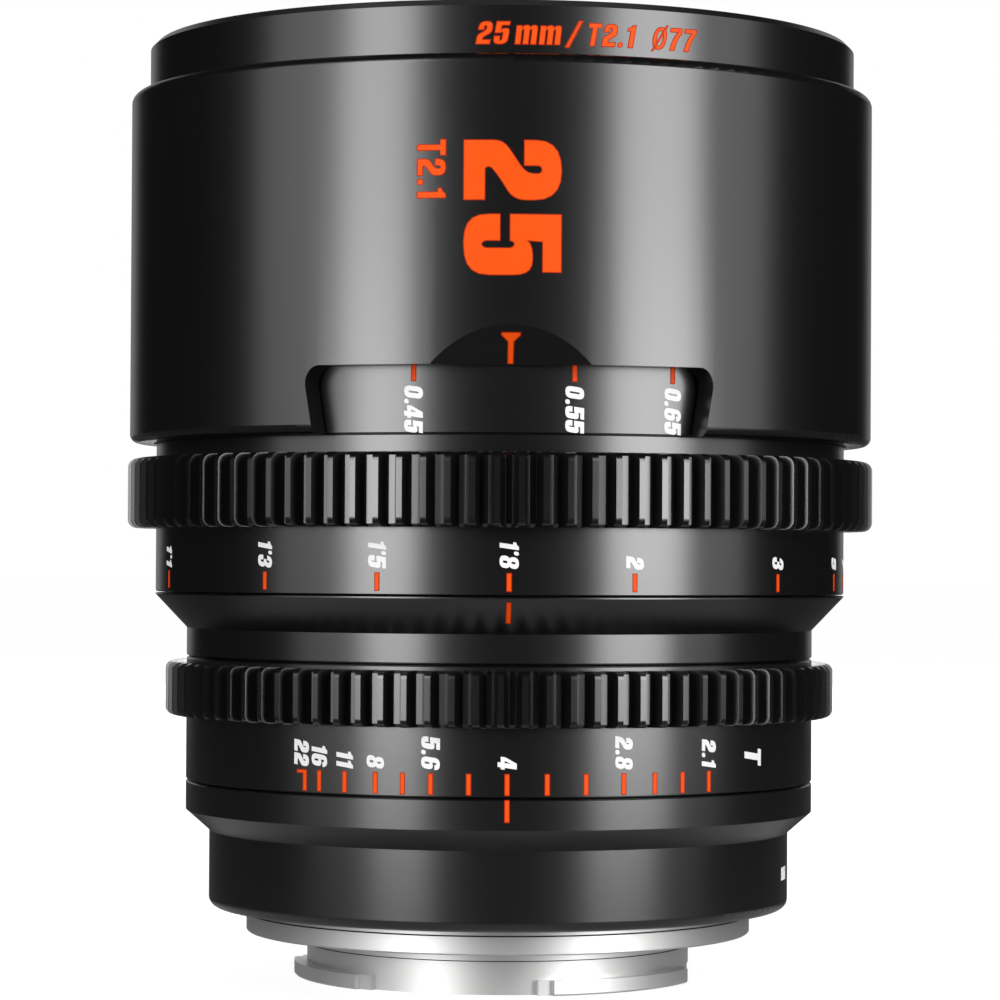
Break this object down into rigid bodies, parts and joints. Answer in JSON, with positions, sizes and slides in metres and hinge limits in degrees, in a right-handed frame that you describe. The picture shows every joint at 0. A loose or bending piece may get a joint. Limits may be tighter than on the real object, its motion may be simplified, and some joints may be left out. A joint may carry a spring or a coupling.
{
  "type": "cinema prime lens",
  "caption": "Cinema prime lens with geared focus and aperture rings, optics that slide on focusing, a working blade iris, a filter thread and a bayonet mount.",
  "frame": {"origin": "on the lens axis, in the plane of the bayonet's rear end, on which the lens stands", "axes": "+Z along the lens axis towards the front, -Y towards the index marks, +X to the right of them as seen from the front of the marks"},
  "size_m": [0.0844, 0.0844, 0.105],
  "materials": {
    "black_aluminium": "black anodised, satin",
    "black_baffle": "black anodised, matte",
    "mount_chrome": "satin chrome on brass",
    "plain_steel": "bright",
    "brass": "turned",
    "iris_steel": "blackened",
    "optical_glass": "polished, coated"
  },
  "bodies": {
    "housing": {"front_ring": "black_aluminium", "front_baffle": "black_baffle", "front_barrel": "black_aluminium", "barrel_lock_ring": "black_aluminium", "main_barrel": "black_aluminium", "mid_barrel": "black_aluminium", "rear_barrel": "black_aluminium", "barrel_screws": "plain_steel", "mount_shim": "plain_steel", "bayonet_mount": "mount_chrome", "mount_screws": "plain_steel", "rear_baffle": "black_baffle"},
    "focus_ring": {"focus_ring": "black_aluminium", "scale_sleeve": "black_aluminium", "focus_helicoid": "brass", "sleeve_screws": "plain_steel", "focus_stop_pin": "plain_steel"},
    "aperture_ring": {"aperture_ring": "black_aluminium", "aperture_drive_pin": "plain_steel"},
    "optical_unit": {"drive_keys": "brass", "front_cell": "black_aluminium", "iris_base": "black_aluminium", "iris_lock_ring": "black_aluminium", "iris_snap_ring": "plain_steel", "key_screws": "plain_steel", "lens_01": "optical_glass", "lens_02": "optical_glass", "lens_03": "optical_glass", "lens_04": "optical_glass", "lens_05": "optical_glass", "lens_06": "optical_glass", "lens_07": "optical_glass", "lens_08": "optical_glass", "lens_09": "optical_glass", "lens_10": "optical_glass", "lens_11": "optical_glass", "lens_carriage": "black_aluminium", "lens_retainer_1": "black_aluminium", "lens_retainer_2": "black_aluminium", "lens_retainer_3": "black_aluminium", "lens_retainer_4": "black_aluminium", "lens_retainer_5": "black_aluminium", "lens_spacer_1": "black_aluminium", "lens_spacer_2": "black_aluminium", "lens_spacer_3": "black_aluminium", "lens_spacer_4": "black_aluminium", "middle_cell": "black_aluminium", "middle_lock_ring": "black_aluminium", "rear_cell": "black_aluminium"},
    "iris_cam_ring": {"iris_cam_ring": "black_aluminium"},
    "iris_blade_1": {"iris_blade_1": "iris_steel"},
    "iris_blade_2": {"iris_blade_2": "iris_steel"},
    "iris_blade_3": {"iris_blade_3": "iris_steel"},
    "iris_blade_4": {"iris_blade_4": "iris_steel"},
    "iris_blade_5": {"iris_blade_5": "iris_steel"},
    "iris_blade_6": {"iris_blade_6": "iris_steel"},
    "iris_blade_7": {"iris_blade_7": "iris_steel"},
    "iris_blade_8": {"iris_blade_8": "iris_steel"},
    "iris_blade_9": {"iris_blade_9": "iris_steel"}
  },
  "joints": [
    {"name": "focus_turn", "type": "hinge", "parent": "housing", "child": "focus_ring", "pos_m": [0, 0, 0.0516], "axis": [0, 0, 1], "range_deg": [-104, 166]},
    {"name": "optics_slide", "type": "slide", "parent": "housing", "child": "optical_unit", "axis": [0, 0, 1], "range_m": [-0.00139, 0.00221]},
    {"name": "aperture_turn", "type": "hinge", "parent": "housing", "child": "aperture_ring", "pos_m": [0, 0, 0.029], "axis": [0, 0, 1], "range_deg": [-37.6, 37.6]},
    {"name": "iris_cam_turn", "type": "hinge", "parent": "optical_unit", "child": "iris_cam_ring", "pos_m": [0, 0, 0.032], "axis": [0, 0, 1], "range_deg": [-37.6, 37.6]},
    {"name": "iris_blade_1_swing", "type": "hinge", "parent": "optical_unit", "child": "iris_blade_1", "pos_m": [0.016, 0, 0.035], "axis": [0, 0, 1], "range_deg": [-15.6, 15.6]},
    {"name": "iris_blade_2_swing", "type": "hinge", "parent": "optical_unit", "child": "iris_blade_2", "pos_m": [0.01226, 0.01028, 0.035], "axis": [0, 0, 1], "range_deg": [-15.6, 15.6]},
    {"name": "iris_blade_3_swing", "type": "hinge", "parent": "optical_unit", "child": "iris_blade_3", "pos_m": [0.00278, 0.01576, 0.035], "axis": [0, 0, 1], "range_deg": [-15.6, 15.6]},
    {"name": "iris_blade_4_swing", "type": "hinge", "parent": "optical_unit", "child": "iris_blade_4", "pos_m": [-0.008, 0.01386, 0.035], "axis": [0, 0, 1], "range_deg": [-15.6, 15.6]},
    {"name": "iris_blade_5_swing", "type": "hinge", "parent": "optical_unit", "child": "iris_blade_5", "pos_m": [-0.01504, 0.00547, 0.035], "axis": [0, 0, 1], "range_deg": [-15.6, 15.6]},
    {"name": "iris_blade_6_swing", "type": "hinge", "parent": "optical_unit", "child": "iris_blade_6", "pos_m": [-0.01504, -0.00547, 0.035], "axis": [0, 0, 1], "range_deg": [-15.6, 15.6]},
    {"name": "iris_blade_7_swing", "type": "hinge", "parent": "optical_unit", "child": "iris_blade_7", "pos_m": [-0.008, -0.01386, 0.035], "axis": [0, 0, 1], "range_deg": [-15.6, 15.6]},
    {"name": "iris_blade_8_swing", "type": "hinge", "parent": "optical_unit", "child": "iris_blade_8", "pos_m": [0.00278, -0.01576, 0.035], "axis": [0, 0, 1], "range_deg": [-15.6, 15.6]},
    {"name": "iris_blade_9_swing", "type": "hinge", "parent": "optical_unit", "child": "iris_blade_9", "pos_m": [0.01226, -0.01028, 0.035], "axis": [0, 0, 1], "range_deg": [-15.6, 15.6]}
  ],
  "couplings": [
    {"joint": "optics_slide", "follows": "focus_turn", "m_per_rad": 0.00076394},
    {"joint": "iris_cam_turn", "follows": "aperture_turn", "ratio": 1},
    {"joint": "iris_blade_1_swing", "follows": "aperture_turn", "ratio": 0.4147},
    {"joint": "iris_blade_2_swing", "follows": "aperture_turn", "ratio": 0.4147},
    {"joint": "iris_blade_3_swing", "follows": "aperture_turn", "ratio": 0.4147},
    {"joint": "iris_blade_4_swing", "follows": "aperture_turn", "ratio": 0.4147},
    {"joint": "iris_blade_5_swing", "follows": "aperture_turn", "ratio": 0.4147},
    {"joint": "iris_blade_6_swing", "follows": "aperture_turn", "ratio": 0.4147},
    {"joint": "iris_blade_7_swing", "follows": "aperture_turn", "ratio": 0.4147},
    {"joint": "iris_blade_8_swing", "follows": "aperture_turn", "ratio": 0.4147},
    {"joint": "iris_blade_9_swing", "follows": "aperture_turn", "ratio": 0.4147}
  ]
}
